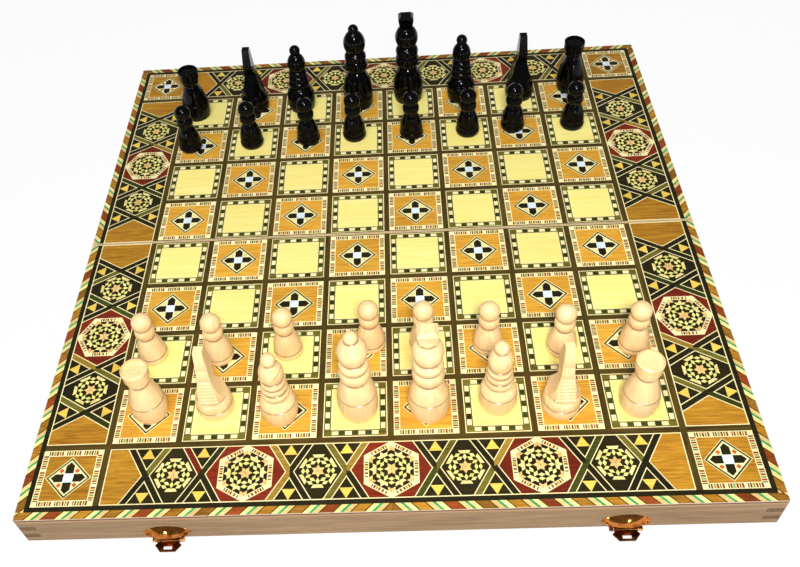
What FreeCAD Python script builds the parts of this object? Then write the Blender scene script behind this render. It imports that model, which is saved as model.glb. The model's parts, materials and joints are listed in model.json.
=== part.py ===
"""Folding chess box laid open as a board, with its thirty-two turned men standing on it.

Two shallow trays lie side by side with their rims down, so that their backs form one square playing
surface. The seam between them runs along X at Y = 0 and the rims stand on Z = 0. White sits at -Y.
The front tray swings under the rear one on two butt hinges at the rims, and two clasps on the front
tray then hook over two catches on the rear one. Lengths are in millimetres.
"""
import FreeCAD, Part
import os
import re
import Sketcher
from FreeCAD import Rotation, Vector

FILES = "abcdefgh"

# The driving dimensions of the box, its hinges and its clasps.
BOX_SIZES = {
    "board_width": 400.0,
    "seam_gap": 0.6,
    "wall_height": 20.0,
    "wall_thickness": 9.0,
    "panel_thickness": 3.2,
    "veneer_thickness": 0.8,
    "finger_count": 5,
    "frieze_width": 33.85,
    "strap_width": 3.5,
    "edge_rope_width": 4.4,
    "edge_band_width": 2.8,
    "hinge_length": 30.0,
    "hinge_spacing": 220.0,
    "leaf_depth": 8.0,
    "leaf_thickness": 0.9,
    "knuckle_radius": 1.2,
    "hinge_pin_radius": 0.6,
    "pin_clearance": 0.05,
    "running_gap": 0.3,
    "rim_clearance": 0.1,
    "clasp_spacing": 243.0,
    "clasp_width": 27.0,
    "clasp_height": 13.0,
    "clasp_bulge": 4.5,
    "clasp_lift": 0.2,
    "lug_width": 2.0,
    "barrel_radius": 1.2,
    "barrel_length": 12.6,
    "clasp_pin_radius": 0.6,
    "clasp_pin_reach": 2.2,
    "tongue_thickness": 0.9,
    "tongue_neck": 12.0,
    "tongue_neck_length": 1.6,
    "tongue_width": 14.4,
    "tongue_tip": 8.4,
    "tongue_length": 6.4,
    "slot_reach": 4.2,
    "stud_width": 4.0,
    "stud_thickness": 1.0,
    "stud_stand": 1.0,
    "slot_room": 0.4,
    "slot_swing_room": 0.2,
    "catch_thickness": 0.6,
    "catch_width": 18.0,
    "catch_height": 4.8,
}

# Each man is turned from the foot up. A section names its rise and the radius that it ends on, and a
# rounded one also the radius at the middle of its rise. A drum and an incised line carry the bell.
TURNED = {
    "pawn": {
        "foot_radius": 7.9,
        "sections": [
            ("drum", 4.6, 8.4, 8.7),
            ("line", 0.4, 8.0, None),
            ("skirt", 0.4, 8.3, None),
            ("bell", 13.8, 4.8, 7.3),
            ("neck", 0.8, 4.5, None),
            ("collar", 8.0, 4.6, 6.0),
        ],
        "ball_radius": 5.9,
    },
    "rook": {
        "foot_radius": 9.4,
        "sections": [
            ("drum", 13.2, 9.8, 10.4),
            ("line", 0.4, 9.2, None),
            ("skirt", 0.4, 9.7, None),
            ("bell", 13.8, 5.4, 7.9),
            ("neck", 1.2, 5.0, None),
            ("collar", 5.0, 5.8, 6.5),
            ("flare", 0.8, 7.3, None),
            ("turret", 6.0, 7.4, None),
            ("lip", 0.5, 6.6, None),
        ],
        "dish_depth": 1.6,
    },
    "knight": {
        "foot_radius": 9.8,
        "sections": [
            ("drum", 6.8, 10.3, 10.6),
            ("line", 0.4, 9.7, None),
            ("skirt", 0.4, 10.2, None),
            ("shoulder", 6.4, 8.6, 10.1),
            ("cleft", 0.7, 8.2, None),
            ("rim", 0.7, 9.0, None),
            ("neck", 38.0, 7.0, None),
        ],
    },
    "bishop": {
        "foot_radius": 9.6,
        "sections": [
            ("drum", 12.8, 10.1, 10.6),
            ("line", 0.4, 9.5, None),
            ("skirt", 0.4, 10.0, None),
            ("bell", 5.6, 6.6, 9.0),
            ("neck", 0.6, 6.0, None),
            ("ring", 5.2, 6.4, 7.9),
            ("second_ring", 4.8, 6.0, 7.3),
            ("third_ring", 4.4, 5.3, 6.8),
            ("mitre", 13.4, 2.8, 6.7),
        ],
        "ball_radius": 4.0,
    },
    "queen": {
        "foot_radius": 10.2,
        "sections": [
            ("drum", 17.4, 10.7, 11.2),
            ("line", 0.4, 10.1, None),
            ("skirt", 0.4, 10.6, None),
            ("bell", 11.6, 6.8, 9.3),
            ("neck", 0.8, 6.2, None),
            ("bowl", 9.8, 7.0, 8.6),
            ("ring", 6.0, 6.0, 8.0),
            ("waist", 0.5, 5.6, None),
            ("head", 16.8, 3.4, 8.1),
        ],
        "ball_radius": 3.8,
    },
    "king": {
        "foot_radius": 10.4,
        "sections": [
            ("drum", 15.8, 10.8, 11.3),
            ("line", 0.4, 10.2, None),
            ("skirt", 0.4, 10.7, None),
            ("bell", 11.4, 7.0, 9.3),
            ("neck", 0.8, 6.4, None),
            ("bowl", 10.6, 7.2, 8.8),
            ("ring", 6.6, 6.2, 8.3),
            ("waist", 0.5, 5.8, None),
            ("head", 15.4, 4.8, 8.4),
        ],
        "finial_stub": 1.0,
    },
}

# The king's square finial flares upwards. The bishop's mitre has a slanting saw cut. The knight's
# turned neck is sawn from the side, behind the crest and under the muzzle, and then hollowed along
# both flanks up to a narrow crest.
CARVED_SIZES = {
    "finial_length": 8.8,
    "finial_depth": 7.4,
    "finial_rise": 10.0,
    "finial_flare": 8.0,
    "finial_bevel": 2.2,
    "slit_width": 0.9,
    "slit_inner": 1.4,
    "slit_slope": 0.8,
    "neck_foot_depth": 8.4,
    "crest_lean": 1.6,
    "poll_depth": 5.0,
    "muzzle_reach": 7.3,
    "muzzle_drop": 14.0,
    "muzzle_depth": 6.4,
    "throat_depth": 1.0,
    "throat_drop": 23.0,
    "neck_foot_width": 17.2,
    "flank_hollow": 5.2,
    "waist_width": 6.8,
    "waist_drop": 17.5,
    "poll_width": 5.2,
}

# The back rank by file, and how far each man stands off the middle of his square, right and back.
BACK_RANK = ["rook", "knight", "bishop", "queen", "king", "bishop", "knight", "rook"]
STANDING_OFF = {
    ("white", 1): [(1, 3), (-1, 4), (-3, -1), (2, 0), (2, -1), (1, 1.5), (-4, -2), (-1, -3)],
    ("white", 2): [(-4, 3), (-3, 1), (-1, 3), (9, 6), (1, 4), (-1, 2), (2, -2), (4, -2)],
    ("black", 7): [(-8, 0), (-1, 1), (2, 2), (-3, 4), (0, 3), (2, 3), (-4, 6), (0, 5)],
    ("black", 8): [(-8, 0), (-2, 6), (-5, 4), (0, 4), (-1, 9), (0, 6), (5, 5), (5, 11)],
}

# Levels and places that several pieces share, as formulas. The board is square, and its eight squares
# each way fill what the edge and the frieze leave.
PANEL_TOP = "wall_height + panel_thickness"
BOARD_TOP = "wall_height + panel_thickness + veneer_thickness"
SEAM_FACE = "seam_gap / 2"
HALF_WIDTH = "(board_width / 2)"
HALF_DEPTH = "(board_width / 2)"
FRIEZE_OUTER = f"({HALF_WIDTH} - edge_rope_width - edge_band_width)"
FRIEZE_INNER = f"({FRIEZE_OUTER} - frieze_width)"
FRIEZE_MIDDLE = f"({FRIEZE_INNER} + {FRIEZE_OUTER}) / 2"
PITCH = f"(({FRIEZE_INNER} - strap_width / 2) / 4)"
SQUARE_SIDE = f"{PITCH} - strap_width"

doc = FreeCAD.newDocument("ChessBox")
sheet = doc.addObject("Spreadsheet::Sheet", "Sizes")
size = {}
nodes = []


def add_size(alias, value):
    """Puts one driving dimension on the sheet under its own name."""
    row = len(size) + 1
    sheet.set(f"A{row}", alias)
    sheet.set(f"B{row}", str(value))
    sheet.setAlias(f"B{row}", alias)
    size[alias] = value


def with_sizes(formula, wording):
    """The formula with each size's name put as the wording gives it."""
    def word(match):
        name = match.group(0)
        return wording(name) if name in size else name
    return re.sub(r"[a-z_]+", word, formula)


def bind(obj, prop, formula):
    """Ties a property to the sheet. Words in the formula that name a size are read from there."""
    obj.setExpression(prop, with_sizes(formula, lambda name: f"Sizes.{name}"))


def worth(formula):
    """The number that a formula comes to with the sizes as written here."""
    return FreeCAD.Units.Quantity(with_sizes(formula, lambda name: str(size[name]))).Value


def place(obj, x="0", y="0", z="0"):
    """Ties an object's position to the sheet."""
    for axis, formula in zip("xyz", (x, y, z)):
        bind(obj, f"Placement.Base.{axis}", formula)


def box(name, x, y, z):
    """A block whose sides are given along X, Y and Z as pairs of formulas, low and high."""
    block = doc.addObject("Part::Box", name)
    for prop, (low, high) in zip(("Length", "Width", "Height"), (x, y, z)):
        bind(block, prop, f"({high}) - ({low})")
    place(block, x[0], y[0], z[0])
    return block


def rod(name, radius, start, length, y, z):
    """A round bar along X."""
    bar = doc.addObject("Part::Cylinder", name)
    bar.Placement.Rotation = Rotation(Vector(0, 1, 0), 90)
    bind(bar, "Radius", radius)
    bind(bar, "Height", length)
    place(bar, start, y, z)
    return bar


def fuse(name, pieces):
    joined = doc.addObject("Part::MultiFuse", name)
    joined.Shapes = pieces
    return joined


def cut(name, base, tool):
    trimmed = doc.addObject("Part::Cut", name)
    trimmed.Base = base
    trimmed.Tool = tool
    return trimmed


def group(name, pieces):
    together = doc.addObject("Part::Compound", name)
    together.Links = pieces
    return together


def node(label, pieces, x="0", y="0", z="0", turn=0):
    """A finished piece, or a set of equal ones, set in its place on the box."""
    piece = group(label, pieces)
    piece.Placement.Rotation = Rotation(Vector(0, 0, 1), turn)
    place(piece, x, y, z)
    piece.Label = label
    nodes.append(piece)
    return piece


def plane(body, role):
    """One of a body's own origin planes or axes."""
    return next(part for part in body.Origin.OriginFeatures if part.Role == role)


def sketch_on(body, name, role):
    sketch = body.newObject("Sketcher::SketchObject", name)
    sketch.AttachmentSupport = (plane(body, role), [""])
    sketch.MapMode = "FlatFace"
    return sketch


def spot(point):
    return Vector(worth(point[0]), worth(point[1]), 0)


def pin_point(sketch, edge, end, across, up):
    """Fixes one end of a sketch edge at formulas measured from the sketch's origin."""
    for kind, formula, axis in (("DistanceX", across, -2), ("DistanceY", up, -1)):
        if formula == "0":
            sketch.addConstraint(Sketcher.Constraint("PointOnObject", edge, end, axis))
        else:
            index = sketch.addConstraint(Sketcher.Constraint(kind, -1, 1, edge, end, worth(formula)))
            bind(sketch, f"Constraints[{index}]", formula)


def outline(sketch, points, arcs=None):
    """A closed outline through points, each a formula across and one up.

    The edge that leaves a point is straight, or round where arcs gives a point half way along it. A
    sketch keeps a round edge anticlockwise, so one that runs the other way is joined end for end.
    """
    arcs = arcs or {}
    first = sketch.GeometryCount
    count = len(points)
    start_ends = []
    for index, point in enumerate(points):
        here = spot(point)
        there = spot(points[(index + 1) % count])
        if index in arcs:
            edge = sketch.addGeometry(Part.Arc(here, spot(arcs[index]), there), False)
        else:
            edge = sketch.addGeometry(Part.LineSegment(here, there), False)
        runs_forward = sketch.getPoint(edge, 1).distanceToPoint(here) < here.distanceToPoint(there) / 2
        start_ends.append(1 if runs_forward else 2)
    for index, point in enumerate(points):
        edge = first + index
        following = (index + 1) % count
        far_end = 3 - start_ends[index]
        sketch.addConstraint(Sketcher.Constraint("Coincident", edge, far_end, first + following, start_ends[following]))
        pin_point(sketch, edge, start_ends[index], *point)
    for index, point in arcs.items():
        mark = sketch.addGeometry(Part.Point(spot(point)), True)
        sketch.addConstraint(Sketcher.Constraint("PointOnObject", mark, 1, first + index))
        pin_point(sketch, mark, 1, *point)


def rectangle(sketch, across, up):
    """A rectangle between two formulas across and two up."""
    outline(sketch, [(across[0], up[0]), (across[1], up[0]), (across[1], up[1]), (across[0], up[1])])


def circle(sketch, radius):
    """A circle round the sketch's origin."""
    ring = sketch.addGeometry(Part.Circle(Vector(0, 0, 0), Vector(0, 0, 1), worth(radius)), False)
    sketch.addConstraint(Sketcher.Constraint("Coincident", ring, 3, -1, 1))
    index = sketch.addConstraint(Sketcher.Constraint("Radius", ring, worth(radius)))
    bind(sketch, f"Constraints[{index}]", radius)


def pad(body, name, sketch, length, midplane=False):
    feature = body.newObject("PartDesign::Pad", name)
    feature.Profile = sketch
    feature.Midplane = midplane
    bind(feature, "Length", length)
    return feature


def pocket(body, name, sketch, length, reverse=False, midplane=False):
    feature = body.newObject("PartDesign::Pocket", name)
    feature.Profile = sketch
    feature.Midplane = midplane
    feature.Reversed = reverse
    bind(feature, "Length", length)
    return feature


def finger_wall(name, length, first_notch, notch_count):
    """A wall standing on its rim along X, notched at both ends for the fingers of its neighbours."""
    body = doc.addObject("PartDesign::Body", name)
    face = sketch_on(body, name + "_face", "XZ_Plane")
    rectangle(face, (f"-({length}) / 2", f"({length}) / 2"), ("0", "wall_height"))
    pad(body, name + "_board", face, "wall_thickness", midplane=True)
    notches = sketch_on(body, name + "_notches", "XZ_Plane")
    finger = "wall_height / finger_count"
    low = f"{first_notch} * {finger}" if first_notch else "0"
    high = f"{first_notch + 1} * {finger}"
    rectangle(notches, (f"-({length}) / 2", f"-({length}) / 2 + wall_thickness"), (low, high))
    rectangle(notches, (f"({length}) / 2 - wall_thickness", f"({length}) / 2"), (low, high))
    slots = pocket(body, name + "_slots", notches, "2 * wall_thickness", midplane=True)
    rows = body.newObject("PartDesign::LinearPattern", name + "_fingers")
    rows.Originals = [slots]
    rows.Direction = (notches, ["V_Axis"])
    bind(rows, "Length", f"2 * {finger} * ({notch_count} - 1)")
    bind(rows, "Occurrences", notch_count)
    body.Tip = rows
    return body


def turned_man(kind):
    """A man turned on a lathe, foot on Z = 0 and axis on Z."""
    shape = TURNED[kind]
    body = doc.addObject("PartDesign::Body", kind)
    sketch = sketch_on(body, kind + "_profile", "XZ_Plane")

    corners = [("0", "0"), (f"{kind}_foot_radius", "0")]
    arcs = {}
    height = "0"
    for name, rise, radius, middle in shape["sections"]:
        start, height = height, f"{height} + {kind}_{name}_rise"
        if middle is not None:
            arcs[len(corners) - 1] = (f"{kind}_{name}_middle", f"{start} + {kind}_{name}_rise / 2")
        corners.append((f"{kind}_{name}_radius", height))

    last_radius = corners[-1][0]
    if "ball_radius" in shape:
        ball = f"{kind}_ball_radius"
        level = f"{height} + sqrt({ball} ^ 2 - {last_radius} ^ 2)"
        arcs[len(corners) - 1] = (ball, level)
        corners.append(("0", f"{level} + {ball}"))
    elif "dish_depth" in shape:
        corners.append((last_radius, f"{height} - {kind}_dish_depth"))
        corners.append(("0", f"{height} - {kind}_dish_depth"))
    elif "finial_stub" in shape:
        corners.append((last_radius, f"{height} + {kind}_finial_stub"))
        corners.append(("0", f"{height} + {kind}_finial_stub"))
    else:
        corners.append(("0", height))

    outline(sketch, corners, arcs)
    turning = body.newObject("PartDesign::Revolution", kind + "_turning")
    turning.Profile = sketch
    turning.ReferenceAxis = (sketch, ["V_Axis"])
    turning.Angle = 360
    return body, f"({height})"


def square_finial(body, top):
    """The king's finial, a square block that flares upwards and has bevelled top edges."""
    foot = sketch_on(body, "finial_foot", "XY_Plane")
    bind(foot, "AttachmentOffset.Base.z", f"{top} + king_finial_stub / 2")
    rectangle(foot, ("-finial_length / 2", "finial_length / 2"), ("-finial_depth / 2", "finial_depth / 2"))
    block = pad(body, "finial_block", foot, "finial_rise")
    bind(block, "TaperAngle", "finial_flare")
    doc.recompute()
    faces = block.Shape.Faces
    top_face = max(range(len(faces)), key=lambda index: faces[index].CenterOfMass.z)
    bevel = body.newObject("PartDesign::Chamfer", "finial_bevels")
    bevel.Base = (block, [f"Face{top_face + 1}"])
    bind(bevel, "Size", "finial_bevel")


def mitre_slit(body, top):
    """The saw cut that climbs out of the bishop's mitre."""
    middle = f"{top} - bishop_mitre_rise / 2"
    climb = "slit_slope * (bishop_foot_radius - slit_inner)"
    slit = sketch_on(body, "mitre_slit", "XZ_Plane")
    outline(slit, [
        ("slit_inner", f"{middle} - slit_width"),
        ("bishop_foot_radius", f"{middle} - slit_width + {climb}"),
        ("bishop_foot_radius", f"{middle} + {climb}"),
        ("slit_inner", middle),
    ])
    pocket(body, "mitre_slit_cut", slit, "4 * bishop_foot_radius", midplane=True)


def horse_head(body, top):
    """Saws the knight's turned neck to the horse's profile, and hollows its flanks up to the crest."""
    base = f"{top} - knight_neck_rise"
    waste = sketch_on(body, "neck_side", "YZ_Plane")
    outline(waste, [
        ("-knight_foot_radius", base),
        ("-neck_foot_depth", base),
        ("-crest_lean", top),
        ("-knight_foot_radius", top),
    ])
    outline(waste, [
        ("knight_foot_radius", base),
        ("neck_foot_depth", base),
        ("throat_depth", f"{top} - throat_drop"),
        ("muzzle_reach - muzzle_depth / 4", f"{top} - muzzle_drop - muzzle_depth / 2"),
        ("muzzle_reach", f"{top} - muzzle_drop"),
        ("poll_depth - crest_lean", top),
        ("knight_foot_radius", top),
    ])
    pocket(body, "neck_profile", waste, "4 * knight_foot_radius", midplane=True)
    flanks = sketch_on(body, "neck_front", "XZ_Plane")
    for way in ("-", ""):
        outline(flanks, [
            (f"{way}knight_foot_radius", base),
            (f"{way}neck_foot_width / 2", base),
            (f"{way}waist_width / 2", f"{top} - waist_drop"),
            (f"{way}poll_width / 2", top),
            (f"{way}knight_foot_radius", top),
        ], {1: (f"{way}flank_hollow", f"({base} + {top} - waist_drop) / 2")})
    pocket(body, "neck_flanks", flanks, "4 * knight_foot_radius", midplane=True)


for alias, value in BOX_SIZES.items():
    add_size(alias, value)
for alias, value in CARVED_SIZES.items():
    add_size(alias, value)
for kind, shape in TURNED.items():
    add_size(f"{kind}_foot_radius", shape["foot_radius"])
    for end in ("ball_radius", "dish_depth", "finial_stub"):
        if end in shape:
            add_size(f"{kind}_{end}", shape[end])
    for name, rise, radius, middle in shape["sections"]:
        add_size(f"{kind}_{name}_rise", rise)
        add_size(f"{kind}_{name}_radius", radius)
        if middle is not None:
            add_size(f"{kind}_{name}_middle", middle)
doc.recompute()

HALVES = (("rear", 0), ("front", 180))
SIDES = (("left", -1), ("right", 1))

# The walls of one tray: an outer one, a hinge wall at the seam and two side walls, finger-jointed.
tray_depth = f"{HALF_DEPTH} - {SEAM_FACE}"
outer_wall = finger_wall("outer_wall", "board_width", 1, "(finger_count - 1) / 2")
side_wall = finger_wall("side_wall", tray_depth, 0, "(finger_count + 1) / 2")
hinge_wall = finger_wall("hinge_wall", "board_width", 1, "(finger_count - 1) / 2")

# Each hinge leaf lies flush in the hinge wall's rim, and its knuckles turn in a deeper rebate.
wall_face = "-(wall_thickness / 2)"
for name, depth, height, ease in (
        ("leaf_recess", f"leaf_depth - {SEAM_FACE}", "leaf_thickness", "0"),
        ("knuckle_rebate", f"knuckle_radius + running_gap - {SEAM_FACE}",
         "knuckle_radius + running_gap - rim_clearance", "running_gap")):
    recess = sketch_on(hinge_wall, name, "XY_Plane")
    for side, sign in SIDES:
        middle = f"{sign} * hinge_spacing / 2"
        reach = f"(hinge_length / 2 + {ease})"
        rectangle(recess, (f"{middle} - {reach}", f"{middle} + {reach}"), (wall_face, f"{wall_face} + {depth}"))
    pocket(hinge_wall, name + "_cut", recess, height, reverse=True)

# The playing surface: a panel, and on it a sheet of strapwork with a window for each inlaid square,
# corner square and six-sided medallion of the frieze round the field.
panel = box("panel", (f"-{HALF_WIDTH}", HALF_WIDTH), (SEAM_FACE, HALF_DEPTH), ("wall_height", PANEL_TOP))
sheet_blank = box("sheet_blank", (f"-{HALF_WIDTH}", HALF_WIDTH), (SEAM_FACE, HALF_DEPTH), (PANEL_TOP, BOARD_TOP))
light_squares = []
dark_squares = []
for rank in range(4):
    for column in range(8):
        left = f"{column - 4} * {PITCH} + strap_width / 2"
        near = f"{rank} * {PITCH} + strap_width / 2"
        square = box(f"square_{FILES[column]}{rank + 5}", (left, f"{left} + {SQUARE_SIDE}"),
                     (near, f"{near} + {SQUARE_SIDE}"), (PANEL_TOP, BOARD_TOP))
        is_dark = (column + rank) % 2 == 0
        (dark_squares if is_dark else light_squares).append(square)
for side, sign in SIDES:
    near_side, far_side = (FRIEZE_INNER, FRIEZE_OUTER) if sign > 0 else (f"-{FRIEZE_OUTER}", f"-{FRIEZE_INNER}")
    dark_squares.append(box(f"corner_{side}", (near_side, far_side), (FRIEZE_INNER, FRIEZE_OUTER),
                            (PANEL_TOP, BOARD_TOP)))

medallions = []
medallion_places = [(f"{step} * 2 * {PITCH}", FRIEZE_MIDDLE, 30) for step in (-1, 0, 1)]
medallion_places += [(f"{sign} * {FRIEZE_MIDDLE}", f"{FRIEZE_INNER} / 2", 0) for side, sign in SIDES]
for index, (across, along, turn) in enumerate(medallion_places):
    medallion = doc.addObject("Part::Prism", f"medallion_{index}")
    medallion.Polygon = 6
    medallion.Placement.Rotation = Rotation(Vector(0, 0, 1), turn)
    bind(medallion, "Circumradius", "frieze_width / 2")
    bind(medallion, "Height", "veneer_thickness")
    place(medallion, across, along, PANEL_TOP)
    medallions.append(medallion)
strapwork = cut("strapwork", sheet_blank, group("windows", light_squares + dark_squares + medallions))

for half, turn in HALVES:
    way = "-" if turn else ""
    node(f"{half}_outer_wall", [outer_wall], y=f"{way}({HALF_DEPTH} - wall_thickness / 2)", turn=turn)
    node(f"{half}_hinge_wall", [hinge_wall], y=f"{way}({SEAM_FACE} + wall_thickness / 2)", turn=turn)
    for side, sign in SIDES:
        node(f"{half}_{side}_wall", [side_wall], x=f"{sign} * ({HALF_WIDTH} - wall_thickness / 2)",
             y=f"{way}({SEAM_FACE} + {HALF_DEPTH}) / 2", turn=90)
    node(f"{half}_panel", [panel], turn=turn)
    node(f"{half}_strapwork", [strapwork], turn=turn)
    node(f"{half}_light_squares", light_squares, turn=turn)
    node(f"{half}_dark_squares", dark_squares, turn=turn)
    node(f"{half}_medallions", medallions, turn=turn)

# Butt hinges, three knuckles each: the middle one on the front leaf, the outer two on the rear leaf.
AXIS_Z = "-rim_clearance"
third = "hinge_length / 3"
knuckle_length = f"{third} - running_gap"
tab_depth = "knuckle_radius + 1.5 * running_gap"


def hinge_leaf(half, starts):
    """One leaf at the middle of the seam, with a knuckle over each given start along X."""
    leaf = box(half + "_leaf_plate", ("-hinge_length / 2", "hinge_length / 2"), (tab_depth, "leaf_depth"),
               ("0", "leaf_thickness"))
    pieces = [leaf]
    for index, start in enumerate(starts):
        pieces.append(box(f"{half}_leaf_tab_{index}", (start, f"{start} + {knuckle_length}"), ("0", tab_depth),
                          ("0", "leaf_thickness")))
        pieces.append(rod(f"{half}_knuckle_{index}", "knuckle_radius", start, knuckle_length, "0", AXIS_Z))
    bore = rod(half + "_knuckle_bore", "hinge_pin_radius + pin_clearance", "-hinge_length", "2 * hinge_length", "0",
               AXIS_Z)
    return cut(half + "_leaf", fuse(half + "_leaf_blank", pieces), bore)


outer_starts = ["-hinge_length / 2", f"hinge_length / 2 - ({knuckle_length})"]
middle_starts = [f"-({knuckle_length}) / 2"]
hinge_pin = rod("hinge_pin", "hinge_pin_radius", "-hinge_length / 2", "hinge_length", "0", AXIS_Z)


def pair(name, master, spacing, y="0", z="0"):
    """The same piece twice, left and right of the middle."""
    copies = []
    for side, sign in SIDES:
        copy = group(f"{name}_{side}", [master])
        place(copy, f"{sign} * {spacing} / 2", y, z)
        copies.append(copy)
    return copies


node("rear_hinge_leaves", pair("rear_leaf", hinge_leaf("rear", outer_starts), "hinge_spacing"))
node("front_hinge_leaves", pair("front_leaf", hinge_leaf("front", middle_starts), "hinge_spacing"), turn=180)
node("hinge_pins", pair("pin", hinge_pin, "hinge_spacing"))

# A clasp's almond-shaped plate is what two balls share, cut off flat at the wall. Its tongue turns on
# a pin between two lugs at the rim.
half_span = "(clasp_width / 2)"
half_tall = "(clasp_height / 2)"
rim_radius = f"(({half_span} ^ 2 / {half_tall} + {half_tall}) / 2)"
ball_offset = f"(({half_span} ^ 2 / {half_tall} - {half_tall}) / 2)"
ball_depth = f"(({half_span} ^ 2 - clasp_bulge ^ 2) / (2 * clasp_bulge))"
plate_middle = f"(clasp_lift + {half_tall})"
PIN_Z = "(clasp_lift + barrel_radius)"
PIN_Y = "-clasp_pin_reach"

balls = []
for name, sign in (("low", -1), ("high", 1)):
    ball = doc.addObject("Part::Sphere", f"clasp_ball_{name}")
    bind(ball, "Radius", f"sqrt({rim_radius} ^ 2 + {ball_depth} ^ 2)")
    place(ball, "0", ball_depth, f"{plate_middle} + {sign} * {ball_offset}")
    balls.append(ball)
almond = doc.addObject("Part::MultiCommon", "clasp_almond")
almond.Shapes = balls
behind_wall = box("behind_wall", ("-clasp_width", "clasp_width"), ("0", "3 * clasp_width"),
                  ("-2 * clasp_width", "2 * clasp_width"))
barrel_room = "(barrel_length / 2 + running_gap)"
barrel_slot = box("barrel_slot", (f"-{barrel_room}", barrel_room),
                  ("-3 * clasp_bulge", "-(clasp_pin_reach - barrel_radius - running_gap)"),
                  ("-clasp_height", f"{PIN_Z} + barrel_radius + running_gap"))
lugs = []
for side, sign in SIDES:
    inner, outer = barrel_room, f"({barrel_room} + lug_width)"
    span = (inner, outer) if sign > 0 else (f"-{outer}", f"-{inner}")
    lugs.append(box(f"lug_{side}", span, (PIN_Y, "0"), ("clasp_lift", f"{PIN_Z} + barrel_radius")))
    lugs.append(rod(f"lug_end_{side}", "barrel_radius", span[0], "lug_width", PIN_Y, PIN_Z))
dome = cut("clasp_dome", cut("clasp_face", almond, behind_wall), barrel_slot)
pin_span = "(barrel_length + 2 * running_gap + 2 * lug_width)"
pin_bore = rod("clasp_pin_bore", "clasp_pin_radius", f"-{pin_span} / 2", pin_span, PIN_Y, PIN_Z)
clasp_plate = cut("clasp_plate", fuse("clasp_plate_blank", [dome] + lugs), pin_bore)
clasp_pin = rod("clasp_pin", "clasp_pin_radius", f"-{pin_span} / 2", pin_span, PIN_Y, PIN_Z)
node("clasp_plates", pair("plate", clasp_plate, "clasp_spacing", f"-{HALF_DEPTH}"))
node("clasp_pins", pair("clasp_pin", clasp_pin, "clasp_spacing", f"-{HALF_DEPTH}"))

# The tongue: a barrel on the pin and a flat leaf with a slot, widest just past the lugs. Its body's
# origin is on the pin, with the leaf pointing along -Y from the underside of the barrel.
tongue = doc.addObject("PartDesign::Body", "tongue")
barrel = sketch_on(tongue, "tongue_barrel", "YZ_Plane")
circle(barrel, "barrel_radius")
pad(tongue, "tongue_barrel_pad", barrel, "barrel_length", midplane=True)
leaf = sketch_on(tongue, "tongue_leaf", "XY_Plane")
bind(leaf, "AttachmentOffset.Base.z", "-barrel_radius")
wide_at = "-(tongue_neck_length + (tongue_width - tongue_neck) / 2)"
leaf_half = [
    ("tongue_neck / 2", "0"),
    ("tongue_neck / 2", "-tongue_neck_length"),
    ("tongue_width / 2", wide_at),
    ("tongue_tip / 2", "-tongue_length"),
]
outline(leaf, leaf_half + [(f"-{across}", up) for across, up in reversed(leaf_half)])
slot_half = "(stud_width / 2 + slot_room)"
rectangle(leaf, (f"-{slot_half}", slot_half),
          ("-(slot_reach + stud_thickness / 2 + slot_room + slot_swing_room)",
           "-(slot_reach - stud_thickness / 2 - slot_room)"))
pad(tongue, "tongue_leaf_pad", leaf, "tongue_thickness")
bore = sketch_on(tongue, "tongue_bore", "YZ_Plane")
circle(bore, "clasp_pin_radius + pin_clearance")
pocket(tongue, "tongue_bore_cut", bore, "2 * barrel_length", midplane=True)
for side, sign in SIDES:
    node(f"clasp_tongue_{side}", [tongue], f"{sign} * clasp_spacing / 2", f"-{HALF_DEPTH} - clasp_pin_reach", PIN_Z)

# The catch on the rear wall: a plate with round ends and a stud that the closed tongue's slot takes.
# Closed, the pin lies as far below the rear rim as it lies above the front rim at rest.
STUD_Z = f"(slot_reach - {PIN_Z} - 2 * rim_clearance)"
catch = doc.addObject("PartDesign::Body", "catch")
catch_face = sketch_on(catch, "catch_face", "XZ_Plane")
straight = "(catch_width - catch_height) / 2"
low = f"{STUD_Z} - catch_height / 2"
high = f"{STUD_Z} + catch_height / 2"
outline(catch_face, [
    (f"-{straight}", low),
    (straight, low),
    (straight, high),
    (f"-{straight}", high),
], {1: ("catch_width / 2", STUD_Z), 3: ("-catch_width / 2", STUD_Z)})
catch_pad = pad(catch, "catch_plate", catch_face, "catch_thickness")
stud = sketch_on(catch, "catch_stud", "XZ_Plane")
rectangle(stud, ("-stud_width / 2", "stud_width / 2"),
          (f"{STUD_Z} - stud_thickness / 2", f"{STUD_Z} + stud_thickness / 2"))
stud_pad = pad(catch, "catch_stud_pad", stud, "clasp_pin_reach - barrel_radius + tongue_thickness + stud_stand")
for feature in (catch_pad, stud_pad):
    feature.Reversed = True
node("catch_plates", pair("catch", catch, "clasp_spacing", HALF_DEPTH))

# The men, turned and then carved.
CARVING = {"king": square_finial, "bishop": mitre_slit, "knight": horse_head}
men = {}
for kind in TURNED:
    men[kind], top = turned_man(kind)
    if kind in CARVING:
        CARVING[kind](men[kind], top)

for (colour, rank), offsets in STANDING_OFF.items():
    for column, (right, back) in enumerate(offsets):
        kind = "pawn" if rank in (2, 7) else BACK_RANK[column]
        turn = 180 if colour == "black" else 0
        node(f"{colour}_{kind}_{FILES[column]}", [men[kind]], f"{column - 3.5} * {PITCH} + {right}",
             f"{rank - 4.5} * {PITCH} + {back}", BOARD_TOP, turn=turn)

doc.recompute()
for obj in doc.Objects:
    if "Invalid" in obj.State or "Error" in obj.State:
        raise RuntimeError(f"{obj.Name} did not rebuild: {obj.State}")
for piece in nodes:
    if piece.Shape.isNull() or not piece.Shape.isValid() or not piece.Shape.Solids:
        raise RuntimeError(f"{piece.Label} has no valid solid")
os.makedirs("parts", exist_ok=True)
for piece in nodes:
    piece.Shape.exportStep(f"parts/{piece.Label}.step")
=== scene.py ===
import bmesh
import bpy
import json
import math
from mathutils import Matrix, Vector

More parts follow.
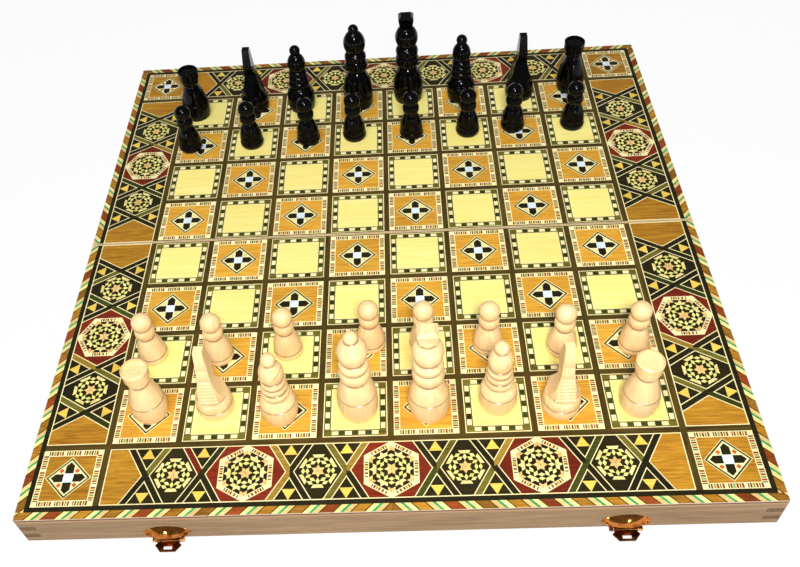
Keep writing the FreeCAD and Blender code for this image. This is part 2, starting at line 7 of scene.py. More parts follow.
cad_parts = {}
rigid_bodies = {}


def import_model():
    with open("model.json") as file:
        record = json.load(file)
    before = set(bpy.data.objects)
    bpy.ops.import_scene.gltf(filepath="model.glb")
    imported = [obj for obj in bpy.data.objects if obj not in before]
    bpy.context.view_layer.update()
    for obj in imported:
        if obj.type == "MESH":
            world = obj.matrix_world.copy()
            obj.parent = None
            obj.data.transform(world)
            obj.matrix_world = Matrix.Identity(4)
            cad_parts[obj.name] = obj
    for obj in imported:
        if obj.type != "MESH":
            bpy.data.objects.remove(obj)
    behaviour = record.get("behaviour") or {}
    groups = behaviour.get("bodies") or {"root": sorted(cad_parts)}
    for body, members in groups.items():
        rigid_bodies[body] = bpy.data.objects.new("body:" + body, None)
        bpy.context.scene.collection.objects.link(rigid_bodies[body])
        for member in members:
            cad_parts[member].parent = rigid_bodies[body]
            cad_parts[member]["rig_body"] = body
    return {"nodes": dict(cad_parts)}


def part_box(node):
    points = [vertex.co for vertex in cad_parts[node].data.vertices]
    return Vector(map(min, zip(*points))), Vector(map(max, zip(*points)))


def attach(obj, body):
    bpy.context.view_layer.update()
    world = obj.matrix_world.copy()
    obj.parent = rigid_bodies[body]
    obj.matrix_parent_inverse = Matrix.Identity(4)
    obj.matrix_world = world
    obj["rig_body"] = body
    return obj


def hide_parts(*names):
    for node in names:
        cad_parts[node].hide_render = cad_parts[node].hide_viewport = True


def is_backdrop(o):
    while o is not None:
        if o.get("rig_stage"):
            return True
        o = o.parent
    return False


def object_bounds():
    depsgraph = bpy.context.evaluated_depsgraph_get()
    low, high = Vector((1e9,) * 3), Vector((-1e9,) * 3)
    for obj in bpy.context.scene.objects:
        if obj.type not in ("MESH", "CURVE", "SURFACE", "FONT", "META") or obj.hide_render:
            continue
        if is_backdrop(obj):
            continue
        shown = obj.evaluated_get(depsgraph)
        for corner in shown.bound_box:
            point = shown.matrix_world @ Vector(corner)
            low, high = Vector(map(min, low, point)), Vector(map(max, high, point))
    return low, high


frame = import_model()
cad_low, cad_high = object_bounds()
nodes = frame["nodes"]

# Sizes of the inlaid board in millimetres, from its middle. The rear half is laid out, and the front
# half is the same turned half round. The inlay stops a hair below the men's feet, so that no face of it
# lies in one of theirs. Only its level and its thickness are in metres.
MM = 0.001
HAIR = 0.02
BOARD_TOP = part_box("rear_strapwork")[1].z - HAIR * MM
VENEER = BOARD_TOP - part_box("rear_strapwork")[0].z
SEAM = 0.3
LIPPING = 1.0
PITCH = 39.3
STRAP = 3.5
SQUARE = PITCH - STRAP
FIELD_EDGE = 4 * PITCH - STRAP / 2
FRIEZE_INNER = 4 * PITCH + STRAP / 2
FRIEZE_OUTER = 192.8
FRIEZE = FRIEZE_OUTER - FRIEZE_INNER
FRIEZE_MIDDLE = (FRIEZE_INNER + FRIEZE_OUTER) / 2
FLANK_MIDDLE = FRIEZE_INNER / 2
BAND_OUTER = 195.6
BOARD_EDGE = 200.0
HALVES = {"rear": 0, "front": 180}
SIDES = (-1, 1)
# How close in metres a cut may pass to a corner and still meet it, the angles below which edges are
# smoothed and faces count as one, and how much of a face's direction is up where it counts as a top.
SAW_TOLERANCE = 1e-7
SMOOTH_ANGLE = math.radians(40)
FLAT_ANGLE = 0.01
TOP_FACING = 0.9


def tone(red, green, blue):
    """A display colour, each part from 0 to 255, as the light that it stands for."""
    light = []
    for share in (red / 255, green / 255, blue / 255):
        light.append(share / 12.92 if share < 0.04045 else ((share + 0.055) / 1.055) ** 2.4)
    return tuple(light)


class Reading:
    """A value on its way through a finish's nodes. Adding, multiplying and so on add Math nodes."""

    def __init__(self, finish, socket):
        self.finish = finish
        self.socket = socket

    def math(self, operation, first, second):
        return self.finish.node("ShaderNodeMath", {"operation": operation}, {0: first, 1: second})

    def __add__(self, other):
        return self.math("ADD", self, other)

    def __radd__(self, other):
        return self.math("ADD", other, self)

    def __sub__(self, other):
        return self.math("SUBTRACT", self, other)

    def __mul__(self, other):
        return self.math("MULTIPLY", self, other)

    def __gt__(self, other):
        return self.math("GREATER_THAN", self, other)


class Finish:
    """One surface finish: a material, its nodes and the shader that they feed."""

    def __init__(self, name, **constants):
        self.material = bpy.data.materials.new(name)
        self.material.use_nodes = True
        self.tree = self.material.node_tree
        self.shader = self.tree.nodes["Principled BSDF"]
        for socket, value in constants.items():
            self.shader.inputs[socket.replace("_", " ")].default_value = value

    def node(self, kind, settings=None, sockets=None, out=0):
        """Adds a node, sets it up, and returns one of its outputs."""
        node = self.tree.nodes.new(kind)
        for key, value in (settings or {}).items():
            if key == "stops":
                ramp = node.color_ramp
                for place, colour in value[1:-1]:
                    ramp.elements.new(place)
                for element, (place, colour) in zip(ramp.elements, value):
                    element.position = place
                    element.color = (*colour, 1)
            else:
                setattr(node, key, value)
        for key, value in (sockets or {}).items():
            if isinstance(value, Reading):
                self.tree.links.new(value.socket, node.inputs[key])
            else:
                node.inputs[key].default_value = value
        return Reading(self, node.outputs[out])

    def place(self, scale):
        """The place on the piece, stretched so that one unit is a pattern's own length each way."""
        where = self.node("ShaderNodeTexCoord", out="Object")
        return self.node("ShaderNodeMapping", None, {"Vector": where, "Scale": scale})

    def noise(self, place, detail=4.0, roughness=0.6, distortion=0.0):
        return self.node("ShaderNodeTexNoise", None, {
            "Vector": place, "Scale": 1.0, "Detail": detail, "Roughness": roughness,
            "Distortion": distortion})

    def ramp(self, value, stops):
        return self.node("ShaderNodeValToRGB", {"stops": stops}, {0: value})

    def mix(self, factor, first, second, blend="MIX"):
        return self.node("ShaderNodeMix", {"data_type": "RGBA", "blend_type": blend},
                         {0: factor, 6: first, 7: second}, out=2)

    def feed(self, socket, reading):
        self.tree.links.new(reading.socket, self.shader.inputs[socket])

    def bump(self, height, strength, distance):
        self.feed("Normal", self.node("ShaderNodeBump", None, {
            "Height": height, "Strength": strength, "Distance": distance}))


def grain_scale(along, streak, length):
    """How a wood's streaks are stretched: their width across the grain and length along it, in mm."""
    scale = [1000 / streak] * 3
    scale["xyz".index(along)] = 1000 / length
    return scale


# How a wood is figured: clouds of shade as multiples of its streaks, pores by their width and length in
# millimetres, and the painted shade in grooves turned round a man, on a scale of heights that takes in the
# tallest one.
CLOUD_WIDTH = 14
CLOUD_LENGTH = 3
CLOUD_SHARE = 0.3
PORE_WIDTH = 0.28
PORE_LENGTH = 9.0
PORE_SHADE = 0.45
GROOVE_HALF = 0.8
GROOVE_SPAN = 100.0
GROOVE_PAINTED_SHADE = (0.1, 0.035, 0.012, 1)
BLACK = (0, 0, 0)
WHITE = (1, 1, 1)


def painted_groove_shade(finish, grooves):
    """Painted shade mask, rising from 0 to 1 at the bottom of each groove, by heights above the board."""
    where = finish.node("ShaderNodeTexCoord", out="Object")
    height = finish.node("ShaderNodeSeparateXYZ", None, {0: where}, out="Z")
    stops = [(0.0, BLACK)]
    for groove in grooves:
        for off, depth in ((-GROOVE_HALF, BLACK), (0, WHITE), (GROOVE_HALF, BLACK)):
            stops.append(((groove + off) / GROOVE_SPAN, depth))
    stops.append((1.0, BLACK))
    return finish.ramp((height - BOARD_TOP) * (1 / (GROOVE_SPAN * MM)), stops)


def wood(name, dark, light, along, streak, length, spread=0.25, rough=(0.3, 0.42), shine=0.3, coat=0.08,
         pores=0.25, grooves=(), painted_shade=0.9):
    """A lacquered wood with streaks along the grain and fine pores. Each piece has its own shade.

    Grooves turned round a man, by their heights above the board in millimetres, get painted shade.
    """
    finish = Finish(name, Coat_Weight=coat, Coat_Roughness=0.06, Specular_IOR_Level=shine)
    figure = finish.noise(finish.place(grain_scale(along, streak, length)), 5.0, 0.62, 0.6)
    cloud = finish.noise(finish.place(grain_scale(along, CLOUD_WIDTH * streak, CLOUD_LENGTH * length)), 2.0)
    shade = figure * (1 - CLOUD_SHARE) + cloud * CLOUD_SHARE
    between = tuple((low + high) / 2 for low, high in zip(dark, light))
    colour = finish.ramp(shade, [(0.3, dark), (0.5, between), (0.68, light)])
    pore = finish.noise(finish.place(grain_scale(along, PORE_WIDTH, PORE_LENGTH)), 2.0, 0.5)
    pore_mark = finish.ramp(pore, [(0.52, BLACK), (0.6, (0.4, 0.4, 0.4)), (0.7, WHITE)])
    darker = tuple(PORE_SHADE * part for part in dark)
    colour = finish.mix(pore_mark * pores, colour, (*darker, 1))
    own_shade = finish.node("ShaderNodeNewGeometry", out="Random Per Island")
    colour = finish.node("ShaderNodeHueSaturation", None, {
        "Color": colour, "Value": 1 - spread / 2 + own_shade * spread})
    if grooves:
        # Painted shade: the man's grooves are darkened towards a deep brown.
        colour = finish.mix(painted_groove_shade(finish, grooves) * painted_shade, colour, GROOVE_PAINTED_SHADE)
    finish.feed("Base Color", colour)
    finish.feed("Roughness", rough[0] + figure * (rough[1] - rough[0]))
    finish.bump(figure - pore_mark * 0.5, 0.06, 0.0002)
    return finish


# The woods of the inlay, each with its two shades, the way that its grain runs, and its streaks' width and
# length in millimetres.
VENEERS = {
    "strap_x": wood("strap_along_x", tone(44, 32, 6), tone(98, 78, 24), "x", 1.1, 26),
    "strap_y": wood("strap_along_y", tone(44, 32, 6), tone(98, 78, 24), "y", 1.1, 26),
    "ebony": wood("ebony_inlay", tone(20, 16, 2), tone(44, 38, 8), "x", 1.4, 20, spread=0.5),
    "cream": wood("cream_inlay", tone(238, 222, 150), tone(252, 242, 190), "x", 1.2, 20, pores=0.05),
    "tan": wood("tan_inlay", tone(218, 172, 98), tone(246, 212, 140), "x", 1.2, 16, spread=0.3),
    "maple": wood("maple_squares", tone(244, 222, 112), tone(255, 244, 158), "x", 1.0, 40, spread=0.1,
                  pores=0.12),
    "ochre": wood("ochre_inlay", tone(196, 130, 30), tone(242, 188, 70), "x", 1.2, 22, spread=0.18,
                  pores=0.5),
    "honey": wood("honey_inlay", tone(140, 82, 12), tone(210, 156, 46), "x", 1.4, 24, spread=0.18,
                  pores=0.6),
    "umber": wood("umber_inlay", tone(104, 66, 14), tone(178, 124, 40), "x", 1.2, 12, spread=0.5),
    "straw": wood("straw_inlay", tone(228, 206, 118), tone(250, 236, 164), "x", 1.0, 12, spread=0.25),
    "redwood": wood("red_inlay", tone(84, 18, 6), tone(140, 46, 18), "x", 1.2, 18, spread=0.5),
    "russet": wood("russet_inlay", tone(100, 36, 8), tone(166, 80, 28), "x", 1.2, 14, spread=0.45),
    "olive": wood("olive_inlay", tone(76, 70, 16), tone(126, 116, 46), "x", 1.2, 22, spread=0.35),
    "gold": wood("gold_inlay", tone(124, 92, 24), tone(178, 146, 58), "x", 1.2, 22, spread=0.2),
    "green": wood("green_inlay", tone(28, 38, 6), tone(72, 78, 24), "x", 1.2, 18, spread=0.9),
    "jade": wood("jade_inlay", tone(20, 124, 70), tone(84, 184, 120), "x", 1.2, 18, spread=0.3),
    "yellow": wood("yellow_inlay", tone(222, 178, 60), tone(248, 216, 104), "x", 1.2, 18, spread=0.2),
    "lime": wood("lime_inlay", tone(214, 208, 92), tone(250, 244, 160), "x", 1.0, 12, spread=0.35),
    "rust": wood("rust_inlay", tone(160, 60, 26), tone(214, 108, 56), "x", 1.0, 12, spread=0.4),
    "lipping": wood("bare_lipping", tone(184, 158, 112), tone(226, 204, 160), "x", 0.8, 20, coat=0.0),
    "pearl": wood("pearl_inlay", tone(196, 224, 234), tone(252, 253, 252), "x", 1.5, 3.0, spread=0.12,
                  pores=0.0, rough=(0.16, 0.24), shine=0.6, coat=0.4),
}


def deselect():
    bpy.ops.object.select_all(action="DESELECT")


def pick(*pieces):
    """Selects pieces, the last one active."""
    deselect()
    for piece in pieces:
        piece.select_set(True)
        bpy.context.view_layer.objects.active = piece


def veneer_sheet(low, high):
    """A plain sheet of veneer between two corners, at the level of the playing surface."""
    deselect()
    middle = ((low[0] + high[0]) / 2 * MM, (low[1] + high[1]) / 2 * MM, BOARD_TOP)
    bpy.ops.mesh.primitive_plane_add(size=1, location=middle)
    sheet = bpy.context.object
    sheet.scale = ((high[0] - low[0]) * MM, (high[1] - low[1]) * MM, 1)
    bpy.ops.object.transform_apply()
    return sheet


def saw(sheet, lines, inside=None):
    """Cuts a sheet along lines, each a point and the direction across it.

    Where inside is given, only the pieces whose middle it accepts are cut.
    """
    pick(sheet)
    bpy.ops.object.mode_set(mode="EDIT")
    bpy.ops.mesh.select_mode(type="FACE")
    for point, across in lines:
        bpy.ops.mesh.select_all(action="DESELECT")
        mesh = bmesh.from_edit_mesh(sheet.data)
        chosen = 0
        for face in mesh.faces:
            middle = face.calc_center_median() / MM
            if inside is None or inside(middle.x, middle.y):
                face.select_set(True)
                chosen += 1
        if chosen:
            bpy.ops.mesh.bisect(plane_co=(point[0] * MM, point[1] * MM, BOARD_TOP), plane_no=(*across, 0),
                                threshold=SAW_TOLERANCE)
    bpy.ops.object.mode_set(mode="OBJECT")


def inlay(sheet, rule):
    """Gives each sawn piece the wood that the rule names for its middle, then joins like to like."""
    slots = {}
    for face in sheet.data.polygons:
        name = rule(face.center.x / MM, face.center.y / MM)
        if name not in slots:
            slots[name] = len(slots)
            sheet.data.materials.append(VENEERS[name].material)
        face.material_index = slots[name]
    pick(sheet)
    bpy.ops.object.mode_set(mode="EDIT")
    bpy.ops.mesh.select_all(action="SELECT")
    bpy.ops.mesh.dissolve_limited(angle_limit=FLAT_ANGLE, delimit={"MATERIAL"})
    bpy.ops.object.mode_set(mode="OBJECT")
    return sheet


def plain_strip(low, high, name):
    return inlay(veneer_sheet(low, high), lambda x, y: name)


def copy_of(piece, shift=(0, 0), turn=0.0, mirror=False):
    """A copy with its own mesh, mirrored across X if asked, turned about Z and then shifted."""
    pick(piece)
    bpy.ops.object.duplicate()
    twin = bpy.context.object
    move = Matrix.Translation((shift[0] * MM, shift[1] * MM, 0))
    move = move @ Matrix.Rotation(math.radians(turn), 4, "Z")
    if mirror:
        move = move @ Matrix.Scale(-1, 4, (1, 0, 0))
    twin.matrix_world = move @ twin.matrix_world
    bpy.ops.object.transform_apply()
    if mirror:
        bpy.ops.object.mode_set(mode="EDIT")
        bpy.ops.mesh.select_all(action="SELECT")
        bpy.ops.mesh.flip_normals()
        bpy.ops.object.mode_set(mode="OBJECT")
    return twin


def upright(*places):
    """Cuts straight across X at these places."""
    return [((place, 0), (1, 0)) for place in places]


def level(*places):
    """Cuts straight across Y at these places."""
    return [((0, place), (0, 1)) for place in places]


def both_ways(*places):
    """Cuts at these distances on all four sides of the middle."""
    signed = [sign * place for place in places for sign in SIDES]
    return upright(*signed) + level(*signed)


def slanted(*reaches):
    """Cuts along the four sides of a square standing on its corner, by its half diagonal."""
    return [((sign_x * reach, 0), (sign_x, sign_y))
            for reach in reaches for sign_x in SIDES for sign_y in SIDES]


# A light square: maple within a frame of olive strips and a row of chequered pieces.
LIGHT_RINGS = (0.5, 1.2, 3.6, 4.3, 4.7)
CHEQUER = 3.7
CHEQUER_COUNT = 7
CHEQUER_START = -CHEQUER * CHEQUER_COUNT / 2


def light_square_wood(x, y):
    inward = SQUARE / 2 - max(abs(x), abs(y))
    along = y if abs(x) > abs(y) else x
    if inward < LIGHT_RINGS[0]:
        return "cream"
    if LIGHT_RINGS[1] < inward < LIGHT_RINGS[2] and abs(along) < -CHEQUER_START:
        return "cream" if math.floor((along - CHEQUER_START) / CHEQUER) % 2 == 0 else "green"
    if inward < LIGHT_RINGS[3]:
        return "olive"
    return "cream" if inward < LIGHT_RINGS[4] else "maple"


def light_square():
    half = SQUARE / 2
    sheet = veneer_sheet((-half, -half), (half, half))
    saw(sheet, both_ways(*[half - ring for ring in LIGHT_RINGS]))
    joints = [CHEQUER_START + CHEQUER * step for step in range(CHEQUER_COUNT + 1)]
    row = (half - LIGHT_RINGS[2], half - LIGHT_RINGS[1])
    saw(sheet, upright(*joints), lambda x, y: row[0] < abs(y) < row[1])
    saw(sheet, level(*joints), lambda x, y: row[0] < abs(x) < row[1])
    return inlay(sheet, light_square_wood)


# A dark square: ochre within a cream frame of barred pieces, and a diamond with a black cross round
# a pearl.
DARK_RINGS = (0.5, 3.1, 3.6)
BARS = (("redwood", 0.9), ("tan", 0.8), ("ebony", 0.5), ("cream", 0.6), ("redwood", 0.9), ("tan", 0.8),
        ("jade", 0.7), ("tan", 0.8), ("redwood", 0.8), ("cream", 0.5), ("ebony", 0.6))
BARS_SHARE = 0.29
BAR_GROUPS = (-1, 0, 1)
DIAMOND_RINGS = (12.7, 12.15, 10.85, 10.2)
CROSS_REACH = 9.6
CROSS_HALF = 2.35
PEARL_HALF = 2.75
CHIP_MIDDLE = 4.3
CHIP_REACH = 1.5


def bar_edges(bars):
    """Where the bars of a group begin and end, from the group's middle."""
    edges = [-sum(width for name, width in bars) / 2]
    for name, width in bars:
        edges.append(edges[-1] + width)
    return edges


def bar_wood(bars, along):
    edges = bar_edges(bars)
    for (name, width), low, high in zip(bars, edges, edges[1:]):
        if low < along < high:
            return name
    return "cream"


def dark_square_wood(side, ground, chip_wood):
    pitch = BARS_SHARE * side

    def rule(x, y):
        inward = side / 2 - max(abs(x), abs(y))
        along = y if abs(x) > abs(y) else x
        if inward < DARK_RINGS[2]:
            in_row = DARK_RINGS[0] < inward < DARK_RINGS[1] and abs(along) < pitch * len(BAR_GROUPS) / 2
            return bar_wood(BARS, along - pitch * round(along / pitch)) if in_row else "cream"
        reach = abs(x) + abs(y)
        for edge, name in zip(DIAMOND_RINGS, (ground, "cream", "green", "cream")):
            if reach > edge:
                return name
        if max(abs(x), abs(y)) < PEARL_HALF:
            return "pearl"
        if min(abs(x), abs(y)) < CROSS_HALF and reach < CROSS_REACH:
            return "ebony"
        chip = abs(abs(x) - CHIP_MIDDLE) + abs(abs(y) - CHIP_MIDDLE) < CHIP_REACH
        return chip_wood if chip else "cream"
    return rule


def dark_square(side, ground, chip_wood):
    half = side / 2
    sheet = veneer_sheet((-half, -half), (half, half))
    rings = [half - ring for ring in DARK_RINGS]
    saw(sheet, both_ways(*rings))
    for group in BAR_GROUPS:
        edges = [group * BARS_SHARE * side + edge for edge in bar_edges(BARS)]
        saw(sheet, upright(*edges), lambda x, y: rings[1] < abs(y) < rings[0])
        saw(sheet, level(*edges), lambda x, y: rings[1] < abs(x) < rings[0])
    saw(sheet, slanted(*DIAMOND_RINGS), lambda x, y: max(abs(x), abs(y)) < rings[2])

    def in_diamond(x, y):
        return abs(x) + abs(y) < DIAMOND_RINGS[-1]

    saw(sheet, both_ways(CROSS_HALF, PEARL_HALF) + slanted(CROSS_REACH), in_diamond)
    chips = [((sign_x * CHIP_MIDDLE + out * CHIP_REACH, sign_y * CHIP_MIDDLE), (1, slope))
             for sign_x in SIDES for sign_y in SIDES for out in SIDES for slope in SIDES]
    saw(sheet, chips, lambda x, y: in_diamond(x, y) and min(abs(x), abs(y)) > CROSS_HALF)
    return inlay(sheet, dark_square_wood(side, ground, chip_wood))


# The frieze: straps crossing in an X between cells that hold a six-sided medallion or a star.
CELL = 2 * PITCH
CROSSING = 24.0
ARM_RUN = 10.3
ARM_RISE = 17.0
ARM_SLOPE = ARM_RUN / ARM_RISE
ARM_SQUARE = ARM_RISE / math.hypot(ARM_RUN, ARM_RISE)
ARM_HALF = 1.55
ARM_LINE = 2.1
EDGE_LINE = 0.6
HEX_RINGS = (14.75, 14.25, 12.4, 11.95)
HEX_TURNS = (0, math.pi / 3, -math.pi / 3)
HEX_BARS = (("ebony", 0.6), ("cream", 1.2), ("redwood", 0.9), ("tan", 0.7), ("cream", 0.6),
            ("redwood", 0.9), ("tan", 0.8), ("ebony", 0.4), ("tan", 0.8), ("redwood", 0.9), ("cream", 0.6),
            ("ebony", 0.6))
# The woods of each crossing's straps, from the inner to the outer end of one strap and then the other.
ARM_WOODS = (
    ("olive", "ebony", "ebony", "ebony"),
    ("ebony", "ebony", "green", "green"),
    ("ebony", "ebony", "gold", "olive"),
    ("ebony", "ebony", "olive", "green"),
    ("olive", "ebony", "gold", "olive"),
    ("gold", "ebony", "ebony", "gold"),
    ("redwood", "ebony", "green", "ebony"),
    ("ebony", "ebony", "olive", "ebony"),
)
FRIEZE_HALF = FRIEZE / 2 - EDGE_LINE
POINT_OUT = ARM_SLOPE * FRIEZE_HALF - ARM_LINE / ARM_SQUARE
POINT_LOW = (FRIEZE_HALF + ARM_LINE / ARM_SQUARE / ARM_SLOPE) / 2


def hexagon_reach(x, y):
    """How far out a point is in a hexagon with upright sides, by its nearest side, and which side."""
    return max((abs(x * math.cos(turn) + y * math.sin(turn)), turn) for turn in HEX_TURNS)


def frieze_wood(crossings, ends):
    """The rule for one length of frieze, by the places of its crossings and its two ends."""
    def rule(x, y):
        if abs(y) > FRIEZE_HALF or x < ends[0] + EDGE_LINE or x > ends[1] - EDGE_LINE:
            return "cream"
        for index, crossing in enumerate(crossings):
            off = (abs(x - crossing) - ARM_SLOPE * abs(y)) * ARM_SQUARE
            if abs(off) < ARM_HALF:
                strap = 2 if (x - crossing) * y > 0 else 0
                return ARM_WOODS[index][strap + (1 if y > 0 else 0)]
            if abs(off) < ARM_LINE:
                return "cream"
            if off < 0:
                top = (abs(y) - POINT_LOW) / (FRIEZE_HALF - POINT_LOW)
                in_point = top > 0 and abs(x - crossing) < POINT_OUT / 2 * (1 - top)
                return "yellow" if in_point else "ebony"
        if x < crossings[0] or x > crossings[-1]:
            return "honey"
        middle = CELL * round(x / CELL)
        if abs(x - middle) > CROSSING:
            return "ebony"
        reach, turn = hexagon_reach(x - middle, y)
        if reach > HEX_RINGS[0]:
            return "redwood"
        if reach < HEX_RINGS[3]:
            return "ebony"
        along = (x - middle) * math.sin(turn) - y * math.cos(turn)
        return bar_wood(HEX_BARS, along) if HEX_RINGS[2] < reach < HEX_RINGS[1] else "cream"
    return rule


def saw_crossing(sheet, crossing):
    """Cuts the straps that cross at a place along the frieze, and the points between their arms."""
    reach = ARM_RUN + 2 * ARM_LINE

    def in_cross(x, y):
        return abs(x - crossing) < reach and abs(y) < FRIEZE_HALF

    def in_notch(x, y):
        return (abs(x - crossing) - ARM_SLOPE * abs(y)) * ARM_SQUARE < -ARM_LINE and abs(y) < FRIEZE_HALF

    saw(sheet, upright(crossing - reach, crossing, crossing + reach))
    arms = [((crossing + side * off / ARM_SQUARE, 0), (1, slope * ARM_SLOPE))
            for off in (ARM_HALF, ARM_LINE) for side in SIDES for slope in SIDES]
    saw(sheet, arms, in_cross)
    saw(sheet, level(-POINT_LOW, POINT_LOW), in_notch)
    lean = POINT_OUT / 2 / (FRIEZE_HALF - POINT_LOW)
    tips = [((crossing, up * FRIEZE_HALF), (1, up * side * lean)) for up in SIDES for side in SIDES]
    saw(sheet, tips, lambda x, y: in_notch(x, y) and abs(y) > POINT_LOW)


def saw_medallion(sheet, middle):
    """Cuts the rings of a six-sided medallion, and the bars along its six sides."""
    rings = []
    for ring in HEX_RINGS:
        for turn in HEX_TURNS:
            across = (math.cos(turn), math.sin(turn))
            for side in SIDES:
                rings.append(((middle + side * ring * across[0], side * ring * across[1]), across))
    saw(sheet, rings, lambda x, y: abs(x - middle) < CROSSING and abs(y) < FRIEZE_HALF)
    for turn in HEX_TURNS:
        across = (math.sin(turn), -math.cos(turn))
        bars = [((middle + edge * across[0], edge * across[1]), across) for edge in bar_edges(HEX_BARS)]

        def in_row(x, y, row=turn):
            reach, side = hexagon_reach(x - middle, y)
            return HEX_RINGS[2] < reach < HEX_RINGS[1] and side == row

        saw(sheet, bars, in_row)


def frieze(crossings, ends):
    """One length of frieze along X about the middle of a medallion."""
    half = FRIEZE / 2
    sheet = veneer_sheet((ends[0], -half), (ends[1], half))
    saw(sheet, level(-FRIEZE_HALF, FRIEZE_HALF) + upright(ends[0] + EDGE_LINE, ends[1] - EDGE_LINE))
    for crossing in crossings:
        saw_crossing(sheet, crossing)
    for middle in sorted({CELL * round(crossing / CELL) for crossing in crossings}):
        saw_medallion(sheet, middle)
    return inlay(sheet, frieze_wood(crossings, ends))


# The stars of the medallions and cells, laid a hair above their dark ground. Six-pointed stars of lozenges
# touch point to point round a star in the middle, and the hexagons between them each hold a lozenge.
STAR_RISE = 0.03
LOZENGE_SIDE = 2.3
LOZENGE_LONG = LOZENGE_SIDE * math.sqrt(3)
LOZENGE_EASE = 0.95


def stone(name, middle, turn, corners, size):
    """A small piece of inlay about a point, with its number of corners and its size both ways."""
    deselect()
    place = (middle[0] * MM, middle[1] * MM, BOARD_TOP + STAR_RISE * MM)
    bpy.ops.mesh.primitive_circle_add(vertices=corners, radius=0.5, fill_type="NGON", location=place,
                                      rotation=(0, 0, math.radians(turn)))
    piece = bpy.context.object
    piece.scale = (size[0] * LOZENGE_EASE * MM, size[1] * LOZENGE_EASE * MM, 1)
    bpy.ops.object.transform_apply()
    piece.data.materials.append(VENEERS[name].material)
    return piece


def lozenge(name, middle, turn):
    """One lozenge about a point, with its long way turned by degrees from X."""
    return stone(name, middle, turn, 4, (LOZENGE_LONG, LOZENGE_SIDE))


def half_lozenge(name, middle, turn):
    """A lozenge sawn across its middle, about a point, with its sawn side facing a direction."""
    across = 2 * LOZENGE_SIDE / math.sqrt(3)
    return stone(name, middle, turn + 90, 3, (across, across))


def towards(turn, out, start=(0, 0)):
    """The point at a distance from a start, in a direction given in degrees."""
    return (start[0] + out * math.cos(math.radians(turn)), start[1] + out * math.sin(math.radians(turn)))


def star(first, whole):
    """A star about the middle of the board, its first point turned from X. A whole one fills a hexagon."""
    stones = []
    for step in range(6):
        point = first + 60 * step
        between = point + 30
        stones.append(lozenge("tan", towards(point, LOZENGE_LONG / 2), point))
        stones.append(lozenge("lime", towards(point, LOZENGE_LONG * 1.5), point))
        stones.append(lozenge("lime", towards(between, LOZENGE_SIDE * 2.5), between + 90))
        stones.append(lozenge("lime", towards(between, LOZENGE_SIDE * 3.5), between + 90))
        outer_star = towards(point, LOZENGE_LONG * 2)
        for turn in (point - 60, point + 60):
            stones.append(lozenge("straw", towards(turn, LOZENGE_LONG / 2, outer_star), turn))
        if not whole:
            seat = towards(point, LOZENGE_SIDE / math.sqrt(3), outer_star)
            stones.append(half_lozenge("straw", seat, point))
        else:
            stones.append(lozenge("straw", towards(point, LOZENGE_LONG * 2.5), point))
            corner_star = towards(between, LOZENGE_SIDE * 6)
            for turn in (between + 150, between + 210):
                stones.append(lozenge("tan", towards(turn, LOZENGE_LONG / 2, corner_star), turn))
    pick(*stones)
    bpy.ops.object.join()
    return bpy.context.object


# The rope along the edge: slanted stripes in a repeat, leaning one way or the other.
ROPE_LIGHT = (("strap_x", 0.9), ("tan", 3.1), ("jade", 1.9), ("straw", 3.2), ("strap_x", 0.9))
ROPE = (("umber", 6.4), *ROPE_LIGHT, ("honey", 6.4), *ROPE_LIGHT, ("russet", 6.4), *ROPE_LIGHT)
ROPE_REPEAT = sum(width for name, width in ROPE)
ROPE_START = 6.0


def rope_wood(low, lean):
    def rule(x, y):
        left = (x - lean * (y - low) + ROPE_START) % ROPE_REPEAT
        for name, width in ROPE:
            if left < width:
                return name
            left -= width
        return ROPE[-1][0]
    return rule


def rope(start, end, low, high, lean):
    """A length of rope along X between two levels. Lean is 1 where its stripes lean to the right."""
    sheet = veneer_sheet((start, low), (end, high))
    overrun = high - low
    along = math.floor((start - overrun) / ROPE_REPEAT) * ROPE_REPEAT - ROPE_START
    cuts = []
    while along < end + overrun:
        for name, width in ROPE:
            if start - overrun < along < end + overrun:
                cuts.append(((along, low), (1, -lean)))
            along += width
    saw(sheet, cuts)
    return inlay(sheet, rope_wood(low, lean))


def lay_squares():
    """The rear half's playing squares, and the squares in its two corners."""
    light = light_square()
    dark = dark_square(SQUARE, "ochre", "straw")
    corner = dark_square(FRIEZE, "honey", "rust")
    sheets = []
    for rank in range(4):
        for column in range(8):
            square = dark if (rank + column) % 2 == 0 else light
            sheets.append(copy_of(square, ((column - 3.5) * PITCH, (rank + 0.5) * PITCH)))
    for side in SIDES:
        sheets.append(copy_of(corner, (side * FRIEZE_MIDDLE, FRIEZE_MIDDLE)))
    return sheets


def lay_friezes():
    """The frieze along the back and the two flanks, without its stars."""
    offsets = (CROSSING, CELL - CROSSING, CELL + CROSSING, 2 * CELL - CROSSING)
    back = frieze(sorted([-place for place in offsets] + list(offsets)), (-FIELD_EDGE, FIELD_EDGE))
    sheets = [copy_of(back, (0, FRIEZE_MIDDLE))]
    flank = frieze([-offsets[1], -offsets[0], offsets[0], offsets[1]],
                   (LIPPING - FLANK_MIDDLE, FIELD_EDGE - FLANK_MIDDLE))
    for side in SIDES:
        sheets.append(copy_of(flank, (side * FRIEZE_MIDDLE, FLANK_MIDDLE), 90))
    return sheets


def lay_stars():
    """The stars of the medallions, and of the cells between them."""
    hexagon_star = star(0, True)
    cell_star = star(30, False)
    sheets = []
    for step in (-1, 0, 1):
        sheets.append(copy_of(hexagon_star, (step * CELL, FRIEZE_MIDDLE)))
    for step in (-1.5, -0.5, 0.5, 1.5):
        sheets.append(copy_of(cell_star, (step * CELL, FRIEZE_MIDDLE)))
    for side in SIDES:
        sheets.append(copy_of(hexagon_star, (side * FRIEZE_MIDDLE, FLANK_MIDDLE), 90))
        for step in (-0.5, 0.5):
            sheets.append(copy_of(cell_star, (side * FRIEZE_MIDDLE, FLANK_MIDDLE + step * CELL), 90))
    return sheets


